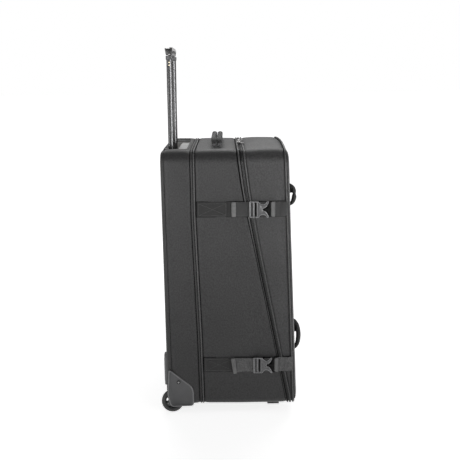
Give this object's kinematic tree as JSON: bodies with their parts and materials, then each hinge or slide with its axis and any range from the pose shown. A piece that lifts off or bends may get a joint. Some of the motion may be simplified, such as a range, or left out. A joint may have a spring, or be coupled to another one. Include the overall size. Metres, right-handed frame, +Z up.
{
  "type": "wheeled equipment case",
  "caption": "Upright wheeled equipment case with a hinged wedge lid, buckled straps, soft carry handles and a telescopic trolley handle.",
  "frame": {"origin": "centre of the footprint's bounding box, on the floor under the wheels and feet", "axes": "+X from the wheels towards the lid, +Y across the case, +Z up along the trolley tubes"},
  "size_m": [0.4, 0.5288, 0.981],
  "materials": {
    "shell_fabric": "woven polyester over a stiff board, matt",
    "binding": "folded binding tape over a piping cord",
    "webbing": "woven polyester webbing with a slight sheen",
    "zip_tape": "ribbed zip tape with coil teeth",
    "zip_metal": "bright plated zinc",
    "buckle_plastic": "semi-gloss moulded acetal",
    "moulded_plastic": "fine-grained moulded plastic",
    "recess_plastic": "light grey moulded tray",
    "dark_plastic": "satin black plastic",
    "tube_paint": "satin charcoal anodised tube",
    "tube_aluminium": "plain extruded tube",
    "tyre": "grey soft tyre",
    "screw_steel": "dull steel",
    "liner_board": "stiff liner board",
    "foot_rubber": "moulded rubber"
  },
  "bodies": {
    "case": {"rear_pan": "shell_fabric", "mid_frame": "shell_fabric", "seam_binding": "binding", "body_zip_tape": "zip_tape", "hinge_gusset": "zip_tape", "trolley_cover_panel": "liner_board", "handle_recess_tray": "recess_plastic", "tube_foot": "tube_paint", "outer_tube_left": "tube_aluminium", "tube_collar_left": "dark_plastic", "wheel_bracket_left": "moulded_plastic", "corner_guard_left": "moulded_plastic", "axle_left": "screw_steel", "front_foot_left": "foot_rubber", "outer_tube_right": "tube_aluminium", "tube_collar_right": "dark_plastic", "wheel_bracket_right": "moulded_plastic", "corner_guard_right": "moulded_plastic", "axle_right": "screw_steel", "front_foot_right": "foot_rubber", "body_strap_upper_left": "webbing", "buckle_female_upper_left": "buckle_plastic", "body_strap_lower_left": "webbing", "buckle_female_lower_left": "buckle_plastic", "body_strap_upper_right": "webbing", "buckle_female_upper_right": "buckle_plastic", "body_strap_lower_right": "webbing", "buckle_female_lower_right": "buckle_plastic"},
    "lid": {"lid_shell": "shell_fabric", "lid_front_panel": "shell_fabric", "lid_piping": "binding", "lid_zip_tape": "zip_tape", "lid_skid_left": "moulded_plastic", "lid_skid_right": "moulded_plastic", "lid_strap_upper_left": "webbing", "buckle_male_upper_left": "buckle_plastic", "lid_strap_lower_left": "webbing", "buckle_male_lower_left": "buckle_plastic", "lid_strap_upper_right": "webbing", "buckle_male_upper_right": "buckle_plastic", "lid_strap_lower_right": "webbing", "buckle_male_lower_right": "buckle_plastic"},
    "trolley": {"inner_tube_left": "tube_paint", "inner_tube_right": "tube_paint", "grip": "dark_plastic", "grip_bracket_left": "moulded_plastic", "grip_bracket_right": "moulded_plastic"},
    "grip_button": {"release_button": "dark_plastic"},
    "wheel_left": {"tyre_left": "tyre", "hub_left": "dark_plastic"},
    "wheel_right": {"tyre_right": "tyre", "hub_right": "dark_plastic"},
    "carry_loop_rear": {"top_handle_rear": "webbing"},
    "carry_loop_front": {"top_handle_front": "webbing"},
    "front_loop_upper": {"front_handle_upper": "webbing"},
    "front_loop_lower": {"front_handle_lower": "webbing"},
    "slider_left": {"zip_slider_left": "zip_metal"},
    "slider_right": {"zip_slider_right": "zip_metal"},
    "puller_left": {"zip_puller_left": "zip_metal"},
    "puller_right": {"zip_puller_right": "zip_metal"}
  },
  "joints": [
    {"name": "lid_hinge", "type": "hinge", "parent": "case", "child": "lid", "pos_m": [0.15, 0, 0.026], "axis": [0, 1, 0], "range_deg": [0, 78]},
    {"name": "trolley_slide", "type": "slide", "parent": "case", "child": "trolley", "axis": [0, 0, 1], "range_m": [-0.254, 0]},
    {"name": "release_button_press", "type": "slide", "parent": "trolley", "child": "grip_button", "axis": [0, 0, 1], "range_m": [-0.003, 0], "stiffness_N_per_m": 400},
    {"name": "wheel_left_spin", "type": "hinge", "parent": "case", "child": "wheel_left", "pos_m": [-0.17, -0.231, 0.0301], "axis": [0, 1, 0], "continuous": true},
    {"name": "wheel_right_spin", "type": "hinge", "parent": "case", "child": "wheel_right", "pos_m": [-0.17, 0.231, 0.0301], "axis": [0, 1, 0], "continuous": true},
    {"name": "carry_loop_rear_fold", "type": "hinge", "parent": "case", "child": "carry_loop_rear", "pos_m": [-0.0476, 0, 0.7225], "axis": [0, 1, 0], "range_deg": [-80, 0], "stiffness_Nm_per_rad": 0.08},
    {"name": "carry_loop_front_fold", "type": "hinge", "parent": "case", "child": "carry_loop_front", "pos_m": [-0.033, 0, 0.7225], "axis": [0, 1, 0], "range_deg": [0, 80], "stiffness_Nm_per_rad": 0.08},
    {"name": "front_loop_upper_flop", "type": "hinge", "parent": "lid", "child": "front_loop_upper", "pos_m": [0.15825, 0, 0.5655], "axis": [-0.0318, 0, 0.9995], "range_deg": [-60, 60], "stiffness_Nm_per_rad": 0.03},
    {"name": "front_loop_lower_flop", "type": "hinge", "parent": "lid", "child": "front_loop_lower", "pos_m": [0.17162, 0, 0.145], "axis": [-0.0318, 0, 0.9995], "range_deg": [-60, 60], "stiffness_Nm_per_rad": 0.03},
    {"name": "zip_slider_left_run", "type": "slide", "parent": "case", "child": "slider_left", "axis": [0, 1, 0], "range_m": [-0.17, 0]},
    {"name": "zip_slider_right_run", "type": "slide", "parent": "case", "child": "slider_right", "axis": [0, 1, 0], "range_m": [0, 0.17]},
    {"name": "zip_puller_left_lift", "type": "hinge", "parent": "slider_left", "child": "puller_left", "pos_m": [0.021, -0.025, 0.7206], "axis": [-1, 0, 0], "range_deg": [0, 88]},
    {"name": "zip_puller_right_lift", "type": "hinge", "parent": "slider_right", "child": "puller_right", "pos_m": [0.021, 0.025, 0.7206], "axis": [1, 0, 0], "range_deg": [0, 88]}
  ]
}
